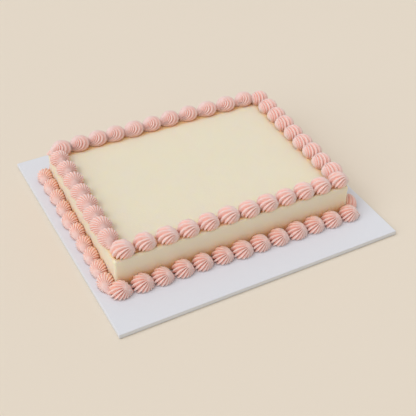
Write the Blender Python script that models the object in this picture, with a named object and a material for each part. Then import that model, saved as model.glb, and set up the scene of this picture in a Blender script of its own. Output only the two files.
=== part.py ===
"""A plain iced sheet cake on its white board, with a shell border piped round its top and its base.

Lengths are in metres. X runs along the cake's long front side, Y to the back and Z up.
The origin is the middle of the board's underside, which is the face the part stands on.
"""

import math
import random

import bmesh
import bpy
from mathutils import Matrix, Vector

# The board
BOARD_LENGTH = 0.356
BOARD_DEPTH = 0.337
BOARD_THICKNESS = 0.006
BOARD_EDGE_ROUND = 0.0007

# The iced block, which stands a little turned and a little back on its board
CAKE_LENGTH = 0.299
CAKE_DEPTH = 0.226
CAKE_HEIGHT = 0.040
CAKE_CORNER_ROUND = 0.0030
CAKE_TOP_ROUND = 0.0022
CAKE_ROUND_STEPS = 4
CAKE_CENTRE = (-0.0015, 0.005)
CAKE_TURN = math.radians(-1.4)

# One piped shell: a ribbed dome, widest at its belly, with a low pulled tail.
# The tail stops a little short of the middle of the next head, TAIL_TUCK away from it.
SHELL_HEAD = 0.0130
SHELL_TAIL = 0.0128
SHELL_TAIL_TIP = 0.0046
TAIL_TUCK = 0.0060
SHELL_HALF_WIDTH = 0.0118
SHELL_HEIGHT = 0.0168
SHELL_RIDGES = 10
RIDGE_DEPTH = 0.20
TAIL_OUT = 0.0010
# Height of the belly over what the shell stands on, and how far the dome's round would reach
# below it, in belly heights. The base shells spread their feet on the board.
TOP_BELLY = 0.0058
TOP_BELLY_REACH = 1.5
BASE_BELLY = 0.0042
BASE_BELLY_REACH = 2.0

# A ridge line is followed from the tail until it meets what the shell stands on
LADDER_END = 3.2
LADDER_STEPS = 64
# Lines used on each side of the top one, and where points sit on each, as shares of its length.
# The scene's skin has the finer ridges; here there are as many as the triangle budget carries.
LINES_EACH_SIDE = 6
LINE_SHARES = (0.22, 0.46, 0.73, 1.0)
RIDGE_FADE = 0.55

# How far the piping hand strays from shell to shell
SIZE_STRAY = 0.05
HEIGHT_STRAY = 0.06
PLACE_STRAY = 0.0007
TURN_STRAY = math.radians(6.0)

# Pieces that touch in the real cake keep this gap
GAP = 0.0003

# Distances of the border's centre lines from the cake's faces
TOP_INSET_FRONT = 0.0092
TOP_INSET_BACK = 0.0100
TOP_INSET_SIDE = 0.0070
BASE_OUTSET = 0.0088
BASE_OUTSET_SIDE = 0.0072

# Where the ridges start and end on a shell, as (along the row, away from the cake, up)
TOP_TAIL_AIM = (0.90, 0.35, 0.22)
TOP_FOOT_AIM = (-0.50, -0.10, -0.86)
BASE_TAIL_AIM = (0.88, 0.38, 0.28)
BASE_FOOT_AIM = (-0.30, -0.20, -0.93)

BUTTERCREAM = (0.80, 0.73, 0.56)
PINK_BUTTERCREAM = (0.82, 0.52, 0.47)
WHITE_CARD = (0.72, 0.73, 0.77)


def clear_scene():
    for item in list(bpy.data.objects):
        bpy.data.objects.remove(item, do_unlink=True)


def make_material(name, colour, roughness):
    material = bpy.data.materials.new(name)
    material.use_nodes = True
    shader = material.node_tree.nodes["Principled BSDF"]
    shader.inputs["Base Color"].default_value = (*colour, 1.0)
    shader.inputs["Roughness"].default_value = roughness
    shader.inputs["Metallic"].default_value = 0.0
    return material


def link_object(name, mesh, material, collection=None):
    item = bpy.data.objects.new(name, mesh)
    item.data.materials.append(material)
    (collection or bpy.context.scene.collection).objects.link(item)
    return item


def block_mesh(name, length, depth, low, high):
    """A closed block centred on the Z axis, between two heights."""
    mesh_data = bmesh.new()
    bmesh.ops.create_cube(mesh_data, size=1.0)
    for vert in mesh_data.verts:
        vert.co.x *= length
        vert.co.y *= depth
        vert.co.z = low if vert.co.z < 0.0 else high
    mesh = bpy.data.meshes.new(name)
    mesh_data.to_mesh(mesh)
    mesh_data.free()
    return mesh


def bevel_edges(mesh, chosen, width, steps):
    """Round the edges that chosen(edge) picks."""
    mesh_data = bmesh.new()
    mesh_data.from_mesh(mesh)
    picked = [edge for edge in mesh_data.edges if chosen(edge)]
    bmesh.ops.bevel(mesh_data, geom=picked, offset=width, offset_type="OFFSET",
                    segments=steps, profile=0.5, affect="EDGES")
    mesh_data.to_mesh(mesh)
    mesh_data.free()


def make_board(material):
    mesh = block_mesh("cake_board", BOARD_LENGTH, BOARD_DEPTH, 0.0, BOARD_THICKNESS)

    def is_rim(edge):
        first, second = edge.verts
        return abs(first.co.z - second.co.z) < GAP

    bevel_edges(mesh, is_rim, BOARD_EDGE_ROUND, 2)
    return link_object("cake_board", mesh, material)


def make_cake(material, frame):
    low = BOARD_THICKNESS + GAP
    high = BOARD_THICKNESS + CAKE_HEIGHT
    mesh = block_mesh("cake", CAKE_LENGTH, CAKE_DEPTH, low, high)

    def is_upright(edge):
        first, second = edge.verts
        return abs(first.co.z - second.co.z) > GAP

    def is_top(edge):
        return all(vert.co.z > high - GAP for vert in edge.verts)

    bevel_edges(mesh, is_upright, CAKE_CORNER_ROUND, CAKE_ROUND_STEPS)
    bevel_edges(mesh, is_top, CAKE_TOP_ROUND, CAKE_ROUND_STEPS)
    item = link_object("cake", mesh, material)
    item.parent = frame
    return item


def ridge_direction(tail_aim, foot_aim, ladder, angle):
    """Unit direction on the ridge line that leaves the tail at an angle and runs to the foot.

    The lines are the circles through two points of a ball. The ladder value goes from very
    negative at the tail to very positive at the foot.
    """
    under = (tail_aim + foot_aim).normalized()
    along = (tail_aim - foot_aim).normalized()
    across = along.cross(under)
    spread = math.tan(0.5 * math.acos(max(-1.0, min(1.0, tail_aim.dot(under)))))
    step = math.exp(ladder) * complex(math.cos(angle), math.sin(angle))
    top = spread * (1.0 + step)
    bottom = 1.0 - step
    size = abs(top) ** 2 + abs(bottom) ** 2
    cross_term = top * bottom.conjugate()
    return ((abs(bottom) ** 2 - abs(top) ** 2) / size * under
            + 2.0 * cross_term.real / size * along
            + 2.0 * cross_term.imag / size * across)


def shell_point(direction, depth, form, grow):
    """A point of the shell's surface, in (along the row, away from the cake, up)."""
    lean = max(0.0, direction.x) ** 2
    narrow = 1.0 - form["taper"] * lean
    along = direction.x * (SHELL_TAIL if direction.x > 0.0 else SHELL_HEAD) * form["long"]
    out = direction.y * SHELL_HALF_WIDTH * form["wide"] * narrow
    if direction.z > 0.0:
        up = direction.z * (SHELL_HEIGHT - form["belly"]) * form["height"] * form["high"] * narrow
    else:
        up = direction.z * form["belly"] * form["belly_reach"]
    point = Vector((along * form["size"], out * form["size"], up)) * (1.0 - depth) + direction * grow
    point.y += TAIL_OUT * lean
    point.z += form["belly"] - form["droop"] * lean
    return point


def ridge_line(aims, number, depth, form, grow):
    """Points of one ridge or groove, from the tail to the ground, at LINE_SHARES of its length."""
    tail_aim, foot_aim = aims
    angle = math.pi * number / SHELL_RIDGES
    path = [shell_point(tail_aim, 0.0, form, grow)]
    for step in range(LADDER_STEPS + 1):
        ladder = LADDER_END * (2.0 * step / LADDER_STEPS - 1.0)
        cut = depth / math.cosh(RIDGE_FADE * ladder)
        path.append(shell_point(ridge_direction(tail_aim, foot_aim, ladder, angle), cut, form, grow))
        if path[-1].z <= -grow:
            share = (path[-2].z + grow) / (path[-2].z - path[-1].z)
            path[-1] = path[-2].lerp(path[-1], share)
            break
    lengths = [0.0]
    for before, after in zip(path, path[1:]):
        lengths.append(lengths[-1] + (after - before).length)
    points = []
    for share in LINE_SHARES:
        wanted = share * lengths[-1]
        index = next(i for i, reached in enumerate(lengths) if reached >= wanted - GAP * GAP)
        rest = (wanted - lengths[index - 1]) / (lengths[index] - lengths[index - 1])
        points.append(path[index - 1].lerp(path[index], rest))
    return points


def shell_mesh(name, aims, form, wall, grow):
    """One closed shell in its row's frame, leaning on a wall that is given as a distance."""
    aims = tuple(Vector(aim).normalized() for aim in aims)
    turning = Matrix.Rotation(form["turn"], 3, "Z")
    mesh_data = bmesh.new()

    def add(point):
        placed = turning @ point + form["place"]
        placed.y = max(placed.y, wall)
        return mesh_data.verts.new(placed)

    tail = add(shell_point(aims[0], 0.0, form, grow))
    root = add(Vector((form["reach"] + grow, TAIL_OUT, -grow)))
    lines = []
    for number in range(-LINES_EACH_SIDE, LINES_EACH_SIDE + 1):
        depth = RIDGE_DEPTH * (number % 2)
        lines.append([add(point) for point in ridge_line(aims, number, depth, form, grow)])
    for line, after in zip(lines, lines[1:]):
        mesh_data.faces.new((tail, line[0], after[0]))
        for upper in range(len(LINE_SHARES) - 1):
            mesh_data.faces.new((line[upper], line[upper + 1], after[upper + 1], after[upper]))
    mesh_data.faces.new((tail, root, *reversed(lines[0])))
    mesh_data.faces.new((root, tail, *lines[-1]))
    mesh_data.faces.new((root, *(line[-1] for line in lines)))
    bmesh.ops.triangulate(mesh_data, faces=mesh_data.faces[:])
    bmesh.ops.recalc_face_normals(mesh_data, faces=mesh_data.faces[:])
    mesh = bpy.data.meshes.new(name)
    mesh_data.to_mesh(mesh)
    mesh_data.free()
    return mesh


def row_frame(start, end, floor):
    """Matrix from (along the row, away from the cake, up) to the cake's own frame."""
    along = Vector((end[0] - start[0], end[1] - start[1], 0.0)).normalized()
    away = Vector((along.y, -along.x, 0.0))
    up = Vector((0.0, 0.0, 1.0))
    matrix = Matrix((along, away, up)).transposed().to_4x4()
    matrix.translation = Vector((start[0], start[1], floor))
    return matrix


def shell_form(row, index):
    """Seeded size, height, place and turn of one shell, the same each time it is asked for.

    Its tail runs on under the next head. The last one of a row draws out into a free tip.
    """
    draw = random.Random(row["seed"] * 100 + index)
    step = math.dist(row["start"], row["end"]) / (row["count"] - 1)
    drift = row["drift"] * math.sin(math.pi * index / (row["count"] - 1))
    return {
        "reach": step - TAIL_TUCK if index < row["count"] - 1 else SHELL_TAIL + SHELL_TAIL_TIP,
        "size": 1.0 + draw.uniform(-SIZE_STRAY, SIZE_STRAY),
        "height": 1.0 + draw.uniform(-HEIGHT_STRAY, HEIGHT_STRAY),
        "place": Vector((step * index + drift + draw.uniform(-PLACE_STRAY, PLACE_STRAY),
                         draw.uniform(-PLACE_STRAY, PLACE_STRAY), 0.0)),
        "turn": draw.uniform(-TURN_STRAY, TURN_STRAY),
        "droop": row["droop"],
        "taper": row["taper"],
        "long": row["long"],
        "wide": row["wide"],
        "high": row["high"],
        "belly": row["belly"],
        "belly_reach": row["belly_reach"],
    }


def make_shell(name, row, index, material, collection, grow=0.0):
    form = shell_form(row, index)
    mesh = shell_mesh(name, row["aims"], form, row["wall"] - grow, grow)
    mesh.transform(row_frame(row["start"], row["end"], row["floor"]))
    mesh.flip_normals()
    return link_object(name, mesh, material, collection)


def apply_boolean(item, operation, tool_collection):
    """Join or cut an object with every object of a collection, then remove that collection."""
    modifier = item.modifiers.new("fuse", "BOOLEAN")
    modifier.operation = operation
    modifier.solver = "EXACT"
    modifier.operand_type = "COLLECTION"
    modifier.collection = tool_collection
    depsgraph = bpy.context.evaluated_depsgraph_get()
    fused = bpy.data.meshes.new_from_object(item.evaluated_get(depsgraph))
    item.modifiers.clear()
    item.data = fused
    for tool in list(tool_collection.objects):
        bpy.data.objects.remove(tool, do_unlink=True)
    bpy.data.collections.remove(tool_collection)


def new_collection(name):
    collection = bpy.data.collections.new(name)
    bpy.context.scene.collection.children.link(collection)
    return collection


def keep_largest_body(item):
    """Drop a scrap of tail that the cut leaves on the far side of the next row's first head."""
    mesh_data = bmesh.new()
    mesh_data.from_mesh(item.data)
    left = set(mesh_data.verts)
    bodies = []
    while left:
        body = {left.pop()}
        front = list(body)
        while front:
            vert = front.pop()
            near = {edge.other_vert(vert) for edge in vert.link_edges} & left
            left -= near
            body |= near
            front.extend(near)
        bodies.append(body)
    bodies.sort(key=len)
    bmesh.ops.delete(mesh_data, geom=[vert for body in bodies[:-1] for vert in body], context="VERTS")
    mesh_data.to_mesh(item.data)
    mesh_data.free()


def make_row(row, next_row, material, frame):
    """Fuse one side's shells and cut them clear of the head that was piped over their end."""
    shells = new_collection(row["name"] + "_shells")
    first = make_shell(row["name"], row, 0, material, None)
    for index in range(1, row["count"]):
        make_shell(f"{row['name']}_{index}", row, index, material, shells)
    apply_boolean(first, "UNION", shells)
    heads = new_collection(row["name"] + "_next_head")
    make_shell(row["name"] + "_cutter", next_row, 0, material, heads, grow=GAP)
    apply_boolean(first, "DIFFERENCE", heads)
    keep_largest_body(first)
    first.parent = frame
    return first


def border_rows(border):
    """The four sides of one border, in the order that they were piped."""
    half_length = 0.5 * CAKE_LENGTH
    half_depth = 0.5 * CAKE_DEPTH
    left = -half_length + border["inset_side"]
    right = half_length - border["inset_side"]
    front = -half_depth + border["inset_front"]
    back = half_depth - border["inset_back"]
    corners = ((left, front), (right, front), (right, back), (left, back))
    insets = (border["inset_front"], border["inset_side"], border["inset_back"], border["inset_side"])
    sides = []
    for number, side in enumerate(border["sides"]):
        start = Vector(corners[number])
        end = Vector(corners[(number + 1) % len(corners)])
        along = (end - start).normalized()
        sides.append({
            **side,
            "name": f"{border['name']}_{side['side']}",
            "seed": border["seed"] + number,
            "start": tuple(start + side["lead_in"] * along),
            "end": tuple(end - side["lead_out"] * along),
            "aims": border["aims"],
            "belly": border["belly"],
            "belly_reach": border["belly_reach"],
            "floor": border["floor"],
            "wall": insets[number] + GAP if border["leans_on_wall"] else -math.inf,
        })
    return sides


# For each side: how many shells it has, how far its first and last head stand from the corner,
# how far its middle shells drift on because the first steps are longer, how far its tails droop
# and how much they narrow, and how long, wide and high its shells are against the usual one
TOP_BORDER = {
    "name": "top_border",
    "seed": 11,
    "inset_front": TOP_INSET_FRONT,
    "inset_back": TOP_INSET_BACK,
    "inset_side": TOP_INSET_SIDE,
    "sides": (
        {"side": "front", "count": 12, "lead_in": 0.0066, "lead_out": 0.0039, "drift": 0.0042,
         "droop": 0.0014, "taper": 0.0, "long": 1.0, "wide": 1.0, "high": 1.0},
        {"side": "right", "count": 9, "lead_in": 0.0196, "lead_out": 0.0080, "drift": 0.0,
         "droop": 0.0026, "taper": 0.1, "long": 1.0, "wide": 1.06, "high": 0.95},
        {"side": "back", "count": 11, "lead_in": 0.0205, "lead_out": 0.0077, "drift": 0.0060,
         "droop": 0.0030, "taper": 0.4, "long": 1.07, "wide": 1.0, "high": 0.93},
        {"side": "left", "count": 8, "lead_in": 0.0204, "lead_out": 0.0250, "drift": 0.0038,
         "droop": 0.0030, "taper": 0.2, "long": 1.0, "wide": 1.09, "high": 0.97},
    ),
    "aims": (TOP_TAIL_AIM, TOP_FOOT_AIM),
    "belly": TOP_BELLY,
    "belly_reach": TOP_BELLY_REACH,
    "floor": BOARD_THICKNESS + CAKE_HEIGHT + GAP,
    "leans_on_wall": False,
}

BASE_BORDER = {
    "name": "base_border",
    "seed": 31,
    "inset_front": -BASE_OUTSET,
    "inset_back": -BASE_OUTSET,
    "inset_side": -BASE_OUTSET_SIDE,
    "sides": (
        {"side": "front", "count": 13, "lead_in": 0.0089, "lead_out": 0.0101, "drift": 0.0015,
         "droop": 0.0014, "taper": 0.0, "long": 1.0, "wide": 1.0, "high": 1.0},
        {"side": "right", "count": 10, "lead_in": 0.0180, "lead_out": 0.0100, "drift": 0.0,
         "droop": 0.0020, "taper": 0.1, "long": 1.0, "wide": 1.0, "high": 1.0},
        {"side": "back", "count": 12, "lead_in": 0.0164, "lead_out": 0.0204, "drift": 0.0,
         "droop": 0.0030, "taper": 0.1, "long": 1.0, "wide": 1.0, "high": 1.0},
        {"side": "left", "count": 10, "lead_in": 0.0126, "lead_out": 0.0190, "drift": 0.0,
         "droop": 0.0020, "taper": 0.0, "long": 1.0, "wide": 0.92, "high": 0.86},
    ),
    "aims": (BASE_TAIL_AIM, BASE_FOOT_AIM),
    "belly": BASE_BELLY,
    "belly_reach": BASE_BELLY_REACH,
    "floor": BOARD_THICKNESS + GAP,
    "leans_on_wall": True,
}


def build():
    clear_scene()
    card = make_material("white_card", WHITE_CARD, 0.45)
    icing = make_material("buttercream", BUTTERCREAM, 0.5)
    piping = make_material("pink_buttercream", PINK_BUTTERCREAM, 0.5)
    make_board(card)
    frame = bpy.data.objects.new("cake_frame", None)
    frame.location = (*CAKE_CENTRE, 0.0)
    frame.rotation_euler.z = CAKE_TURN
    bpy.context.scene.collection.objects.link(frame)
    make_cake(icing, frame)
    for border in (TOP_BORDER, BASE_BORDER):
        rows = border_rows(border)
        for number, row in enumerate(rows):
            item = make_row(row, rows[(number + 1) % len(rows)], piping, frame)
            item.name = row["name"]


build()
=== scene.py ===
"""The looks of a plain iced sheet cake with pink piped borders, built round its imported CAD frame."""

import math
import random

import bmesh
import bpy
import numpy as np
from mathutils import Matrix, Vector, noise


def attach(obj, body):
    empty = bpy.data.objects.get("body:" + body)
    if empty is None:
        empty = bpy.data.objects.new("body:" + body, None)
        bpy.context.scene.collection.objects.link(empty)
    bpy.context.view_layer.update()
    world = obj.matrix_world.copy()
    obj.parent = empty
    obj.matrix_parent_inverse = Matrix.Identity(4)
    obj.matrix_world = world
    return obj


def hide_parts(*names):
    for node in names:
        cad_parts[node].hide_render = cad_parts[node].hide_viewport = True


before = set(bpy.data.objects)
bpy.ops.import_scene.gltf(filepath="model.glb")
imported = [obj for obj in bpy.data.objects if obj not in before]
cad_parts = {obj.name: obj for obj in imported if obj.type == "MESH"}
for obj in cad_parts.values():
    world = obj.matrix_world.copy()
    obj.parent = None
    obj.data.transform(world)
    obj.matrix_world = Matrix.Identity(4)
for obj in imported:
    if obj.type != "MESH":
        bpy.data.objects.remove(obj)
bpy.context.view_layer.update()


# The camera looks down on the cake from its front left corner, from about a metre away.
# Its place and lens come from the straight edges of the board in the photograph.
CAMERA_LENS = 75.46
CAMERA_SENSOR = 36.0
CAMERA_NEAREST = 0.01
CAMERA_PLACE = (-0.3814, -0.7550, 0.6862)
CAMERA_TILT = math.radians(50.38)
CAMERA_TURN = math.radians(-27.68)

camera_data = bpy.data.cameras.new("camera")
camera_data.lens = CAMERA_LENS
camera_data.sensor_width = CAMERA_SENSOR
camera_data.clip_start = CAMERA_NEAREST
camera = bpy.data.objects.new("camera", camera_data)
camera.location = CAMERA_PLACE
camera.rotation_euler = (CAMERA_TILT, 0.0, CAMERA_TURN)
bpy.context.scene.collection.objects.link(camera)
bpy.context.scene.camera = camera
bpy.context.scene.view_settings.view_transform = "Standard"


# The table is a plain warm beige studio surface, a wide sheet of uncoated paper. It has a fine
# tooth and is a touch uneven in tone. It only carries the cake, so it is staged.
FLOOR_SIZE = 8.0
# The sheet lies this far under the board, so that their faces never meet
FLOOR_GAP = 0.0004
FLOOR_COLOUR = (0.849, 0.758, 0.638)
FLOOR_SHADE = (0.837, 0.746, 0.626)
# A Mix node has sockets for every kind of data. These are the places of those for colours.
MIX_MASK = 0
MIX_FIRST = 6
MIX_SECOND = 7
MIX_RESULT = 2


def new_material(name, colour, roughness):
    """A Principled material, with its node tree and its shader."""
    material = bpy.data.materials.new(name)
    material.use_nodes = True
    tree = material.node_tree
    shader = tree.nodes["Principled BSDF"]
    shader.inputs["Base Color"].default_value = (*colour, 1.0)
    shader.inputs["Roughness"].default_value = roughness
    return material, tree, shader


def noise_node(tree, coordinates, scale, detail):
    """A noise texture that takes its coordinates and its scale from sockets."""
    texture = tree.nodes.new("ShaderNodeTexNoise")
    texture.inputs["Detail"].default_value = detail
    tree.links.new(coordinates, texture.inputs["Vector"])
    tree.links.new(scale, texture.inputs["Scale"])
    return texture


def grain_group(name, grain_detail, tone_detail):
    """A shader node group. Height is a fine grain and Tone a slow unevenness, from nought to one."""
    group = bpy.data.node_groups.new(name, "ShaderNodeTree")
    for socket_name in ("Grain Scale", "Tone Scale"):
        group.interface.new_socket(name=socket_name, in_out="INPUT", socket_type="NodeSocketFloat")
    for socket_name in ("Height", "Tone"):
        group.interface.new_socket(name=socket_name, in_out="OUTPUT", socket_type="NodeSocketFloat")
    given = group.nodes.new("NodeGroupInput")
    made = group.nodes.new("NodeGroupOutput")
    place = group.nodes.new("ShaderNodeTexCoord").outputs["Object"]
    grain = noise_node(group, place, given.outputs["Grain Scale"], grain_detail)
    tone = noise_node(group, place, given.outputs["Tone Scale"], tone_detail)
    group.links.new(grain.outputs["Fac"], made.inputs["Height"])
    group.links.new(tone.outputs["Fac"], made.inputs["Tone"])
    return group


def place_group(tree, group, **values):
    """Place a group in a material with its own values. An underscore stands for a space."""
    node = tree.nodes.new("ShaderNodeGroup")
    node.node_tree = group
    for name, value in values.items():
        node.inputs[name.replace("_", " ")].default_value = value
    return node


def blend(tree, mask, first, second):
    """Colour that goes from the first to the second as the mask rises. Each is a colour or a socket."""
    mix = tree.nodes.new("ShaderNodeMix")
    mix.data_type = "RGBA"
    tree.links.new(mask, mix.inputs[MIX_MASK])
    for socket, colour in ((mix.inputs[MIX_FIRST], first), (mix.inputs[MIX_SECOND], second)):
        if isinstance(colour, tuple):
            socket.default_value = (*colour, 1.0)
        else:
            tree.links.new(colour, socket)
    return mix.outputs[MIX_RESULT]


def add_relief(tree, shader, height, strength, depth):
    """Fine relief of a surface, at most depth deep."""
    bump = tree.nodes.new("ShaderNodeBump")
    bump.inputs["Strength"].default_value = strength
    bump.inputs["Distance"].default_value = depth
    tree.links.new(height, bump.inputs["Height"])
    tree.links.new(bump.outputs["Normal"], shader.inputs["Normal"])


paper = grain_group("paper_tooth", grain_detail=3.0, tone_detail=2.0)
floor_material, floor_tree, floor_shader = new_material("beige_paper", FLOOR_COLOUR, roughness=0.85)
floor_paper = place_group(floor_tree, paper, Grain_Scale=700.0, Tone_Scale=3.0)
floor_tree.links.new(blend(floor_tree, floor_paper.outputs["Tone"], FLOOR_SHADE, FLOOR_COLOUR),
                     floor_shader.inputs["Base Color"])
add_relief(floor_tree, floor_shader, floor_paper.outputs["Height"], strength=0.2, depth=0.0002)
floor_data = bmesh.new()
bmesh.ops.create_grid(floor_data, x_segments=1, y_segments=1, size=0.5 * FLOOR_SIZE)
floor_mesh = bpy.data.meshes.new("floor")
floor_data.to_mesh(floor_mesh)
floor_data.free()
floor_mesh.materials.append(floor_material)
floor = bpy.data.objects.new("floor", floor_mesh)
floor.location.z = -FLOOR_GAP
bpy.context.scene.collection.objects.link(floor)


# The light is soft studio light. Wide lamps shine from the left and a little behind, from lower
# down on the left and a little in front, and weakly from the right, in an even, warm surround.
# Azimuth is counted anticlockwise from the right of the cake. All angles are in degrees.
LAMPS = (
    {"name": "key_lamp", "azimuth": 170.0, "height": 58.0, "spread": 36.0, "power": 0.82},
    {"name": "front_fill_lamp", "azimuth": 195.0, "height": 34.0, "spread": 56.0, "power": 0.72},
    {"name": "right_fill_lamp", "azimuth": 10.0, "height": 50.0, "spread": 100.0, "power": 0.34},
)
LAMP_COLOUR = (0.985, 1.0, 1.045)
SURROUND = 0.47
SURROUND_COLOUR = (1.03, 1.0, 0.94)

world = bpy.data.worlds.new("studio")
world.use_nodes = True
world.node_tree.nodes["Background"].inputs["Color"].default_value = (*SURROUND_COLOUR, 1.0)
world.node_tree.nodes["Background"].inputs["Strength"].default_value = SURROUND
bpy.context.scene.world = world
for lamp in LAMPS:
    lamp_data = bpy.data.lights.new(lamp["name"], "SUN")
    lamp_data.angle = math.radians(lamp["spread"])
    lamp_data.energy = lamp["power"]
    lamp_data.color = LAMP_COLOUR
    lamp_object = bpy.data.objects.new(lamp["name"], lamp_data)
    level = math.cos(math.radians(lamp["height"]))
    lamp_from = Vector((level * math.cos(math.radians(lamp["azimuth"])),
                        level * math.sin(math.radians(lamp["azimuth"])),
                        math.sin(math.radians(lamp["height"]))))
    lamp_object.rotation_euler = lamp_from.to_track_quat("Z", "Y").to_euler()
    bpy.context.scene.collection.objects.link(lamp_object)


# The board is stiff foam or card covered in smooth white paper, which is a little blue. Its cut
# edges are greyer. It came out of the CAD in its true shape, so it keeps its node.
BOARD_COLOUR = (0.785, 0.802, 0.855)
BOARD_SHADE = (0.770, 0.787, 0.843)
BOARD_EDGE = (0.670, 0.685, 0.720)
BOARD_EDGE_CORE = (0.765, 0.780, 0.810)
# The cut edge is palest about its middle. Its tone is a wave of this height, and a wave texture
# turns by this many radians over one unit at a scale of one.
EDGE_BAND = 0.0076
WAVE_TURN = 20.0

board_material, board_tree, board_shader = new_material("white_board_paper", BOARD_COLOUR, roughness=0.60)
board_paper = place_group(board_tree, paper, Grain_Scale=1100.0, Tone_Scale=9.0)
board_top = blend(board_tree, board_paper.outputs["Tone"], BOARD_SHADE, BOARD_COLOUR)
edge_wave = board_tree.nodes.new("ShaderNodeTexWave")
edge_wave.bands_direction = "Z"
edge_wave.inputs["Scale"].default_value = 2.0 * math.pi / (WAVE_TURN * EDGE_BAND)
board_place = board_tree.nodes.new("ShaderNodeTexCoord")
board_tree.links.new(board_place.outputs["Object"], edge_wave.inputs["Vector"])
board_side = blend(board_tree, edge_wave.outputs["Fac"], BOARD_EDGE, BOARD_EDGE_CORE)
facing = board_tree.nodes.new("ShaderNodeSeparateXYZ")
board_surface = board_tree.nodes.new("ShaderNodeNewGeometry")
board_tree.links.new(board_surface.outputs["Normal"], facing.inputs["Vector"])
lies_flat = board_tree.nodes.new("ShaderNodeMath")
lies_flat.operation = "ABSOLUTE"
board_tree.links.new(facing.outputs["Z"], lies_flat.inputs[0])
board_tree.links.new(blend(board_tree, lies_flat.outputs["Value"], board_side, board_top),
                     board_shader.inputs["Base Color"])
add_relief(board_tree, board_shader, board_paper.outputs["Height"], strength=0.15, depth=0.0001)
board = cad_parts["cake_board"]
board.data.materials.clear()
board.data.materials.append(board_material)


# The iced block is one rectangle of sponge under a thick coat of cream buttercream. It was
# smoothed by hand with a long blade, so its faces wave a little and its rims are soft.
CAKE_CENTRE = (-0.0015, 0.005)
CAKE_TURN = math.radians(-1.4)
CAKE_LENGTH = 0.299
CAKE_DEPTH = 0.226
BOARD_TOP = 0.006
CAKE_TOP = 0.046
CORNER_ROUND = 0.0026
RIM_ROUND = 0.0030
ROUND_STEPS = 6
ICING_CELL = 0.003
# The waves that the blade left, with smaller ripples in them
WAVE_SIZE = 0.045
WAVE_HEIGHT = 0.0004
RIPPLE_SIZE = 0.3 * WAVE_SIZE
RIPPLE_SHARE = 0.35
# Distances of the top border's centre lines from the cake's faces
TOP_INSET_FRONT = 0.0092
TOP_INSET_BACK = 0.0100
TOP_INSET_SIDE = 0.0070
# Painted bounce light and shade: the icing beside the piping is painted warm orange, as if lit by
# light thrown off the pink piping and shaded where it meets it. It is full up to these distances from
# the top border's lines and up to this height over the board, and beyond them it fades over these reaches.
BOUNCE_INNER_START = 0.0092
BOUNCE_OUTER_START = 0.0052
BOUNCE_TOP_REACH = 0.0017
BOUNCE_WALL_START = 0.0085
BOUNCE_FRONT_REACH = 0.0055
BOUNCE_SIDE_REACH = 0.0010
ICING_COLOUR = (0.876, 0.808, 0.640)
ICING_SHADE = (0.861, 0.791, 0.623)
# Colour of the painted bounce light and shade on the icing beside the piping
ICING_BOUNCE_COLOUR = (0.980, 0.620, 0.320)

cake_frame = Matrix.Translation((*CAKE_CENTRE, 0.0)) @ Matrix.Rotation(CAKE_TURN, 4, "Z")


def link_piece(name, mesh, material, node):
    """Show a mesh in place of a CAD node."""
    mesh.materials.clear()
    mesh.materials.append(material)
    piece = bpy.data.objects.new(name, mesh)
    bpy.context.scene.collection.objects.link(piece)
    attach(piece, "root")
    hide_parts(node)


icing_data = bmesh.new()
bmesh.ops.create_cube(icing_data, size=1.0)
for vert in icing_data.verts:
    vert.co.x *= CAKE_LENGTH
    vert.co.y *= CAKE_DEPTH
    vert.co.z = BOARD_TOP if vert.co.z < 0.0 else CAKE_TOP
upright = [edge for edge in icing_data.edges if abs(edge.verts[0].co.z - edge.verts[1].co.z) > RIM_ROUND]
bmesh.ops.bevel(icing_data, geom=upright, offset=CORNER_ROUND, segments=ROUND_STEPS, profile=0.5,
                affect="EDGES")
rim = [edge for edge in icing_data.edges if all(vert.co.z > CAKE_TOP - ICING_CELL for vert in edge.verts)]
bmesh.ops.bevel(icing_data, geom=rim, offset=RIM_ROUND, segments=ROUND_STEPS, profile=0.5,
                affect="EDGES")
# The faces are cut into cells that are small enough to carry the waves
for axis, low, high in ((0, -0.5 * CAKE_LENGTH, 0.5 * CAKE_LENGTH),
                        (1, -0.5 * CAKE_DEPTH, 0.5 * CAKE_DEPTH), (2, BOARD_TOP, CAKE_TOP)):
    normal = [0.0, 0.0, 0.0]
    normal[axis] = 1.0
    for step in range(1, int((high - low) / ICING_CELL)):
        point = [value * (low + step * ICING_CELL) for value in normal]
        everything = icing_data.verts[:] + icing_data.edges[:] + icing_data.faces[:]
        bmesh.ops.bisect_plane(icing_data, geom=everything, plane_co=point, plane_no=normal)
icing_data.normal_update()
for vert in icing_data.verts:
    wave = noise.noise(vert.co / WAVE_SIZE) + RIPPLE_SHARE * noise.noise(vert.co / RIPPLE_SIZE)
    if vert.co.z > BOARD_TOP + ICING_CELL:
        vert.co += vert.normal * WAVE_HEIGHT * wave
icing_mesh = bpy.data.meshes.new("iced_block")
icing_data.to_mesh(icing_mesh)
icing_data.free()


def add_mask(mesh, name, values):
    """Store one value for each vertex, which a material reads by its name."""
    mask = mesh.attributes.new(name, "FLOAT", "POINT")
    mask.data.foreach_set("value", np.clip(values, 0.0, 1.0).astype(np.float32))


def mask_value(tree, name):
    """The socket of a stored mask in a material."""
    reader = tree.nodes.new("ShaderNodeAttribute")
    reader.attribute_name = name
    return reader.outputs["Fac"]


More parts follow.
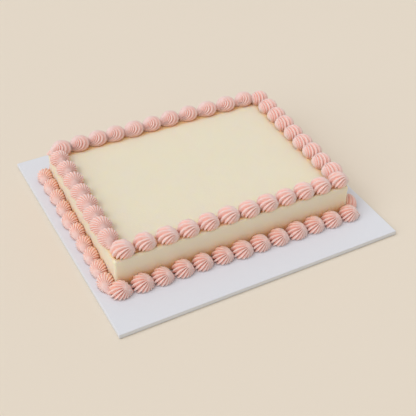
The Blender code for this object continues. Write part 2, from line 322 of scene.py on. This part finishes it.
def painted_piping_bounce(mesh):
    """How much painted bounce light and shade the icing beside the piping gets, from nought to one."""
    place = np.array([vert.co[:] for vert in mesh.vertices])
    past_side = np.abs(place[:, 0]) - 0.5 * CAKE_LENGTH + TOP_INSET_SIDE
    past_front = np.where(place[:, 1] < 0.0, -place[:, 1] - 0.5 * CAKE_DEPTH + TOP_INSET_FRONT,
                          place[:, 1] - 0.5 * CAKE_DEPTH + TOP_INSET_BACK)
    outside = np.hypot(np.maximum(past_side, 0.0), np.maximum(past_front, 0.0))
    inside = -np.maximum(past_side, past_front)
    past_shell = np.where(inside > 0.0, inside - BOUNCE_INNER_START, outside - BOUNCE_OUTER_START)
    on_top = np.exp(-np.maximum(past_shell, 0.0) / BOUNCE_TOP_REACH)
    at_side = np.abs(place[:, 0]) > 0.5 * CAKE_LENGTH - CORNER_ROUND
    wall_reach = np.where(at_side, BOUNCE_SIDE_REACH, BOUNCE_FRONT_REACH)
    on_wall = np.exp(-np.maximum(place[:, 2] - BOARD_TOP - BOUNCE_WALL_START, 0.0) / wall_reach)
    return np.where(place[:, 2] > CAKE_TOP - RIM_ROUND, on_top, on_wall)


# The painted bounce light and shade beside the piping, stored for the icing's material
add_mask(icing_mesh, "painted_bounce", painted_piping_bounce(icing_mesh))
icing_mesh.transform(cake_frame)
icing_mesh.shade_smooth()


def let_light_in(shader, weight, scale, radius):
    """Buttercream passes some light under its surface."""
    shader.inputs["Subsurface Weight"].default_value = weight
    shader.inputs["Subsurface Scale"].default_value = scale
    shader.inputs["Subsurface Radius"].default_value = radius


whipped = grain_group("whipped_buttercream", grain_detail=4.0, tone_detail=3.0)
icing_material, icing_tree, icing_shader = new_material("cream_buttercream", ICING_COLOUR, roughness=0.48)
icing_whipped = place_group(icing_tree, whipped, Grain_Scale=450.0, Tone_Scale=26.0)
icing_cream = blend(icing_tree, icing_whipped.outputs["Tone"], ICING_SHADE, ICING_COLOUR)
# The icing's colour turns to the painted bounce light and shade beside the piping
icing_tree.links.new(blend(icing_tree, mask_value(icing_tree, "painted_bounce"), icing_cream, ICING_BOUNCE_COLOUR),
                     icing_shader.inputs["Base Color"])
let_light_in(icing_shader, weight=0.8, scale=0.008, radius=(1.0, 0.85, 0.45))
add_relief(icing_tree, icing_shader, icing_whipped.outputs["Height"], strength=0.45, depth=0.0004)
link_piece("iced_block", icing_mesh, icing_material, "cake")


# The borders are shells of pink buttercream, piped with a large many toothed star tip. Each one
# swells into a ribbed dome and draws out into a tail, and the next dome is piped over that tail.
SHELL_HEAD = 0.0130
SHELL_TAIL = 0.0128
SHELL_HALF_WIDTH = 0.0118
SHELL_HEIGHT = 0.0168
# The tail leans this far away from the middle of the cake
TAIL_OUT = 0.0010
# How far the tip of the tail is drawn out, which way, and how sharply
FREE_TAIL_TIP = 0.0046
COVERED_TAIL_TIP = 0.0015
TIP_AIM = np.array([0.94, 0.15, -0.22])
TIP_POWER = 16
# Height of the belly over what the shell stands on, and how far the dome's round would reach
# below it, in belly heights. The base shells spread their feet on the board.
TOP_BELLY = 0.0058
TOP_BELLY_REACH = 1.5
BASE_BELLY = 0.0042
BASE_BELLY_REACH = 2.0
# The bottom of a shell sinks this far into what it stands on
SINK = 0.0007
# Rings of points run round a shell, from where its ridges start to where they end
POINTS_PER_RIDGE = 6
SHELL_RINGS = 30
LADDER_START = -3.4
LADDER_END = 2.4
# A power over one rounds the crests of the ridges and keeps the grooves between them sharp
CREST_ROUND = 1.5
# The grooves grow over these angles beside the smooth part of the dome and at both their ends
SMOOTH_EDGE = math.radians(42.0)
PINCH_START = math.radians(6.0)
PINCH_EDGE = math.radians(24.0)
# The grooves run out on the tail from this share of its length, over this share of it
TUCK_START = 0.80
TUCK_EDGE = 0.16
# The painted bounce light and shade fade along the tail from this share of its length
TAIL_START = 0.45
# The ridges flare at their feet, by this share and over this height
FOOT_SPREAD = 0.13
FOOT_HEIGHT = 0.0016
# A shell is painted warm orange, a painted bounce light off the icing with painted shade, this near
# to the wall and this low over the top
WALL_BOUNCE_REACH = 0.0050
FLOOR_BOUNCE_HEIGHT = 0.0052
# How far the piping hand strays from shell to shell
SIZE_STRAY = 0.05
HEIGHT_STRAY = 0.06
PLACE_STRAY = 0.0007
TURN_STRAY = math.radians(6.0)
PIPING_COLOUR = (0.872, 0.668, 0.634)
PIPING_SHADE = (0.862, 0.648, 0.612)
# Painted shade and bounce light in the grooves: they are painted a deeper, redder pink than the crests
GROOVE_SHADE_COLOUR = (0.980, 0.530, 0.430)
# Colour of the painted warm bounce light and shade on the piping near the icing
PIPING_BOUNCE_COLOUR = (1.000, 0.530, 0.360)


def unit(values):
    """The direction of a vector, one long."""
    values = np.array(values, float)
    return values / np.linalg.norm(values)


def ridge_directions(tail_aim, foot_aim, ladder, angle):
    """Unit directions on the circles of a ball that run from its tail point to its foot point.

    Each angle gives one circle. The ladder value goes from very negative at the tail to very
    positive at the foot.
    """
    under = unit(tail_aim + foot_aim)
    along = unit(tail_aim - foot_aim)
    across = np.cross(along, under)
    spread = math.tan(0.5 * math.acos(float(tail_aim @ under)))
    step = np.exp(ladder)[:, None] * np.exp(1j * angle)[None, :]
    top = spread * (1.0 + step)
    bottom = 1.0 - step
    size = np.abs(top) ** 2 + np.abs(bottom) ** 2
    cross_term = top * np.conj(bottom)
    return (((np.abs(bottom) ** 2 - np.abs(top) ** 2) / size)[..., None] * under
            + (2.0 * cross_term.real / size)[..., None] * along
            + (2.0 * cross_term.imag / size)[..., None] * across)


def smooth_step(share):
    """Go softly from nought to one as the share does."""
    share = np.clip(share, 0.0, 1.0)
    return share * share * (3.0 - 2.0 * share)


def fade_in(direction, aim, start, edge):
    """Zero near one direction of the ball, and one away from it."""
    turned = np.arccos(np.clip(direction @ aim, -1.0, 1.0))
    return smooth_step((turned - start) / edge)


def shell_surface(direction, cut, row, recipe):
    """Points of the dome in (along the row, away from the cake, up)."""
    tip = np.clip(direction @ TIP_AIM, 0.0, 1.0) ** TIP_POWER
    lean = np.clip(direction[..., 0], 0.0, 1.0) ** 2
    narrow = 1.0 - row["taper"] * lean
    along = (direction[..., 0] * np.where(direction[..., 0] > 0.0, SHELL_TAIL, SHELL_HEAD)
             + tip * recipe["tail_tip"]) * recipe["size"] * row["long"]
    away = direction[..., 1] * SHELL_HALF_WIDTH * recipe["size"] * row["wide"] * narrow
    dome = (SHELL_HEIGHT - row["belly"]) * recipe["height"] * row["high"] * narrow
    up = direction[..., 2] * np.where(direction[..., 2] > 0.0, dome, row["belly"] * row["belly_reach"])
    tuck = 1.0 - smooth_step((direction[..., 0] - TUCK_START) / TUCK_EDGE)
    points = np.stack([along, away, up], -1) * (1.0 - cut * tuck)[..., None]
    points[..., 1] += TAIL_OUT * lean
    points[..., 2] += row["belly"] - row["droop"] * lean
    return points


def settle_shell(points, grooves, row, recipe):
    """Turn and place a shell, with the feet of its crests flared, and press it flat where it touches."""
    cos_turn, sin_turn = math.cos(recipe["turn"]), math.sin(recipe["turn"])
    points = points @ np.array([[cos_turn, sin_turn, 0.0], [-sin_turn, cos_turn, 0.0], [0.0, 0.0, 1.0]])
    spread = FOOT_SPREAD * np.exp(-np.maximum(points[:, 2], 0.0) / FOOT_HEIGHT) * (1.0 - grooves)
    points[:, :2] *= 1.0 + spread[:, None]
    points += np.array(recipe["place"])
    points[:, 1] = np.maximum(points[:, 1], row["wall"])
    points[:, 2] = np.maximum(points[:, 2], -SINK)
    return points


def painted_icing_bounce(points, on_tail, row):
    """How much painted bounce light and shade a shell gets from the icing beside it, from nought to one."""
    near_wall = np.exp((row["wall"] - points[:, 1]) / WALL_BOUNCE_REACH)
    near_floor = row["floor_bounce"] * np.maximum(1.0 - points[:, 2] / FLOOR_BOUNCE_HEIGHT, 0.0)
    return np.maximum(near_wall, near_floor) * (1.0 - on_tail)


def shell_faces(around):
    """Faces between the rings of a shell, which its tail point and its foot point close."""
    tail_point = SHELL_RINGS * around
    foot_point = tail_point + 1
    last_ring = tail_point - around
    faces = []
    for ring in range(0, last_ring, around):
        for spot in range(around):
            after = (spot + 1) % around
            faces.append((ring + spot, ring + after, ring + around + after, ring + around + spot))
    for spot in range(around):
        after = (spot + 1) % around
        faces.append((tail_point, after, spot))
        faces.append((foot_point, last_ring + spot, last_ring + after))
    return faces


def shell_shape(row, recipe):
    """Points, faces, groove mask and painted bounce mask of one closed shell."""
    tail_aim, foot_aim, smooth_aim = (unit(row[name]) for name in ("tail", "foot", "smooth"))
    around = row["ridges"] * POINTS_PER_RIDGE
    ladder = np.linspace(LADDER_START, LADDER_END, SHELL_RINGS)
    angle = 2.0 * math.pi * np.arange(around) / around
    phase = (np.arange(around) / POINTS_PER_RIDGE) % 1.0
    groove = (np.abs(2.0 * phase - 1.0) ** CREST_ROUND)[None, :]
    direction = ridge_directions(tail_aim, foot_aim, ladder, angle)
    grown = (fade_in(direction, smooth_aim, math.radians(row["smooth_reach"]), SMOOTH_EDGE)
             * fade_in(direction, tail_aim, PINCH_START, PINCH_EDGE)
             * fade_in(direction, foot_aim, PINCH_START, PINCH_EDGE))
    surface = shell_surface(direction, row["depth"] * groove * grown, row, recipe)
    ends = shell_surface(np.stack([tail_aim, foot_aim]), np.zeros(2), row, recipe)
    points = np.concatenate([surface.reshape(-1, 3), ends])
    grooves = np.append((groove * grown).ravel(), (0.0, 0.0))
    on_tail = np.append(smooth_step((direction[..., 0] - TAIL_START) / TAIL_START).ravel(), (1.0, 0.0))
    points = settle_shell(points, grooves, row, recipe)
    return points, shell_faces(around), grooves, painted_icing_bounce(points, on_tail, row)


def row_frame(start, end, floor_height):
    """Matrix from (along the row, away from the cake, up) to the cake's own frame."""
    along = Vector((end[0] - start[0], end[1] - start[1], 0.0)).normalized()
    away = Vector((along.y, -along.x, 0.0))
    matrix = Matrix((along, away, Vector((0.0, 0.0, 1.0)))).transposed().to_4x4()
    matrix.translation = Vector((start[0], start[1], floor_height))
    return matrix


def shell_recipe(row, index):
    """The same seeded strays as the CAD shells have."""
    draw = random.Random(row["seed"] * 100 + index)
    length = math.dist(row["start"], row["end"])
    share = index / (row["count"] - 1)
    drift = row["drift"] * math.sin(math.pi * share)
    return {
        "size": 1.0 + draw.uniform(-SIZE_STRAY, SIZE_STRAY),
        "height": 1.0 + draw.uniform(-HEIGHT_STRAY, HEIGHT_STRAY),
        "place": (length * share + drift + draw.uniform(-PLACE_STRAY, PLACE_STRAY),
                  draw.uniform(-PLACE_STRAY, PLACE_STRAY), 0.0),
        "turn": draw.uniform(-TURN_STRAY, TURN_STRAY),
        "tail_tip": FREE_TAIL_TIP if index == row["count"] - 1 else COVERED_TAIL_TIP,
    }


def row_mesh(row):
    """All the shells of one side, piped one over another."""
    points, faces, grooves, bounces = [], [], [], []
    for index in range(row["count"]):
        more_points, more_faces, more_grooves, more_bounces = shell_shape(row, shell_recipe(row, index))
        start = len(points)
        points.extend(more_points.tolist())
        faces.extend(tuple(start + corner for corner in face) for face in more_faces)
        grooves.extend(more_grooves.tolist())
        bounces.extend(more_bounces.tolist())
    mesh = bpy.data.meshes.new(row["name"])
    mesh.from_pydata(points, [], faces)
    # The groove mask also sets the painted shade and bounce light in the grooves
    add_mask(mesh, "groove", np.array(grooves))
    # The painted bounce light and shade from the icing, stored for the piping's material
    add_mask(mesh, "painted_bounce", np.array(bounces))
    mesh.transform(cake_frame @ row_frame(row["start"], row["end"], row["floor"]))
    mesh.update()
    mesh.shade_smooth()
    return mesh


def border_rows(border):
    """The four sides of one border, in the order that they were piped."""
    left = -0.5 * CAKE_LENGTH + border["inset_side"]
    right = 0.5 * CAKE_LENGTH - border["inset_side"]
    front = -0.5 * CAKE_DEPTH + border["inset_front"]
    back = 0.5 * CAKE_DEPTH - border["inset_back"]
    corners = ((left, front), (right, front), (right, back), (left, back))
    insets = (border["inset_front"], border["inset_side"], border["inset_back"], border["inset_side"])
    rows = []
    for number, side in enumerate(border["sides"]):
        start = Vector(corners[number])
        end = Vector(corners[(number + 1) % len(corners)])
        along = (end - start).normalized()
        rows.append({
            **side,
            "name": f"{border['name']}_{side['side']}",
            "seed": border["seed"] + number,
            "start": tuple(start + side["lead_in"] * along),
            "end": tuple(end - side["lead_out"] * along),
            "floor": border["floor"],
            "wall": insets[number] if border["leans_on_wall"] else -math.inf,
            "floor_bounce": border["floor_bounce"],
            "belly": border["belly"],
            "belly_reach": border["belly_reach"],
        })
    return rows


piping_material, piping_tree, piping_shader = new_material("pink_buttercream", PIPING_COLOUR, roughness=0.60)
piping_shader.inputs["Specular IOR Level"].default_value = 0.25
piping_whipped = place_group(piping_tree, whipped, Grain_Scale=700.0, Tone_Scale=60.0)
piping_pink = blend(piping_tree, piping_whipped.outputs["Tone"], PIPING_SHADE, PIPING_COLOUR)
# The grooves are painted deeper orange-red, a painted shade for light lost and bounced in them
piping_groove_shaded = blend(piping_tree, mask_value(piping_tree, "groove"), piping_pink, GROOVE_SHADE_COLOUR)
# The piping turns to the painted bounce light and shade near the wall and the cake top
piping_tree.links.new(blend(piping_tree, mask_value(piping_tree, "painted_bounce"), piping_groove_shaded, PIPING_BOUNCE_COLOUR),
                      piping_shader.inputs["Base Color"])
let_light_in(piping_shader, weight=0.9, scale=0.0022, radius=(1.0, 1.0, 1.0))
add_relief(piping_tree, piping_shader, piping_whipped.outputs["Height"], strength=0.15, depth=0.0002)

# For each side: how many shells it has, how far its first and last head stand from the corner,
# and how far its middle shells drift on because the first steps are longer. Then the ridges of a
# shell, with the share that the grooves cut away, and, as (along the row, away from the cake, up),
# where they start, where they end and where the dome stays smooth, within so many degrees. Then
# how far its tails droop and how much they narrow, and how long, wide and high its shells are
# against the usual one.
TOP_BORDER = {
    "name": "top_border",
    "seed": 11,
    "inset_front": TOP_INSET_FRONT,
    "inset_back": TOP_INSET_BACK,
    "inset_side": TOP_INSET_SIDE,
    "sides": (
        {"side": "front", "count": 12, "lead_in": 0.0066, "lead_out": 0.0039, "drift": 0.0042,
         "ridges": 18, "depth": 0.31, "tail": (0.78, 0.46, 0.43), "foot": (0.10, 0.10, -0.99),
         "smooth": (0.66, 0.15, 0.75), "smooth_reach": 14.0,
         "droop": 0.0014, "taper": 0.0, "long": 1.0, "wide": 1.0, "high": 1.0},
        {"side": "right", "count": 9, "lead_in": 0.0196, "lead_out": 0.0080, "drift": 0.0,
         "ridges": 23, "depth": 0.32, "tail": (0.84, -0.45, 0.30), "foot": (-0.30, -0.55, -0.78),
         "smooth": (0.40, -0.85, 0.40), "smooth_reach": 0.0,
         "droop": 0.0026, "taper": 0.1, "long": 1.0, "wide": 1.06, "high": 0.95},
        {"side": "back", "count": 11, "lead_in": 0.0205, "lead_out": 0.0077, "drift": 0.0060,
         "ridges": 22, "depth": 0.28, "tail": (0.45, 0.25, 0.86), "foot": (0.88, -0.46, -0.14),
         "smooth": (0.60, 0.30, 0.74), "smooth_reach": 16.0,
         "droop": 0.0030, "taper": 0.4, "long": 1.07, "wide": 1.0, "high": 0.93},
        {"side": "left", "count": 8, "lead_in": 0.0204, "lead_out": 0.0250, "drift": 0.0038,
         "ridges": 25, "depth": 0.19, "tail": (0.80, 0.00, 0.60), "foot": (-0.20, 0.10, -0.97),
         "smooth": (0.90, 0.20, 0.40), "smooth_reach": 0.0,
         "droop": 0.0030, "taper": 0.2, "long": 1.0, "wide": 1.09, "high": 0.97},
    ),
    "floor": CAKE_TOP,
    "leans_on_wall": False,
    "floor_bounce": 1.0,
    "belly": TOP_BELLY,
    "belly_reach": TOP_BELLY_REACH,
}
# Distances of the base border's centre lines outside the cake's faces
BASE_OUTSET = 0.0088
BASE_OUTSET_SIDE = 0.0072
BASE_BORDER = {
    "name": "base_border",
    "seed": 31,
    "inset_front": -BASE_OUTSET,
    "inset_back": -BASE_OUTSET,
    "inset_side": -BASE_OUTSET_SIDE,
    "sides": (
        {"side": "front", "count": 13, "lead_in": 0.0089, "lead_out": 0.0101, "drift": 0.0015,
         "ridges": 17, "depth": 0.38, "tail": (0.54, 0.50, 0.68), "foot": (0.00, -0.40, -0.90),
         "smooth": (0.76, 0.34, 0.55), "smooth_reach": 8.0,
         "droop": 0.0014, "taper": 0.0, "long": 1.0, "wide": 1.0, "high": 1.0},
        {"side": "right", "count": 10, "lead_in": 0.0180, "lead_out": 0.0100, "drift": 0.0,
         "ridges": 21, "depth": 0.32, "tail": (0.70, 0.40, 0.59), "foot": (0.00, -0.40, -0.90),
         "smooth": (0.70, 0.35, 0.60), "smooth_reach": 16.0,
         "droop": 0.0020, "taper": 0.1, "long": 1.0, "wide": 1.0, "high": 1.0},
        {"side": "back", "count": 12, "lead_in": 0.0164, "lead_out": 0.0204, "drift": 0.0,
         "ridges": 21, "depth": 0.32, "tail": (0.70, 0.40, 0.59), "foot": (0.00, -0.40, -0.90),
         "smooth": (0.70, 0.35, 0.60), "smooth_reach": 16.0,
         "droop": 0.0030, "taper": 0.1, "long": 1.0, "wide": 1.0, "high": 1.0},
        {"side": "left", "count": 10, "lead_in": 0.0126, "lead_out": 0.0190, "drift": 0.0,
         "ridges": 24, "depth": 0.17, "tail": (0.74, 0.50, 0.44), "foot": (0.00, -0.30, -0.95),
         "smooth": (0.74, 0.58, 0.34), "smooth_reach": 6.0,
         "droop": 0.0020, "taper": 0.0, "long": 1.0, "wide": 0.92, "high": 0.86},
    ),
    "floor": BOARD_TOP,
    "leans_on_wall": True,
    "floor_bounce": 0.0,
    "belly": BASE_BELLY,
    "belly_reach": BASE_BELLY_REACH,
}
for border in (TOP_BORDER, BASE_BORDER):
    for row in border_rows(border):
        link_piece(row["name"] + "_piping", row_mesh(row), piping_material, row["name"])
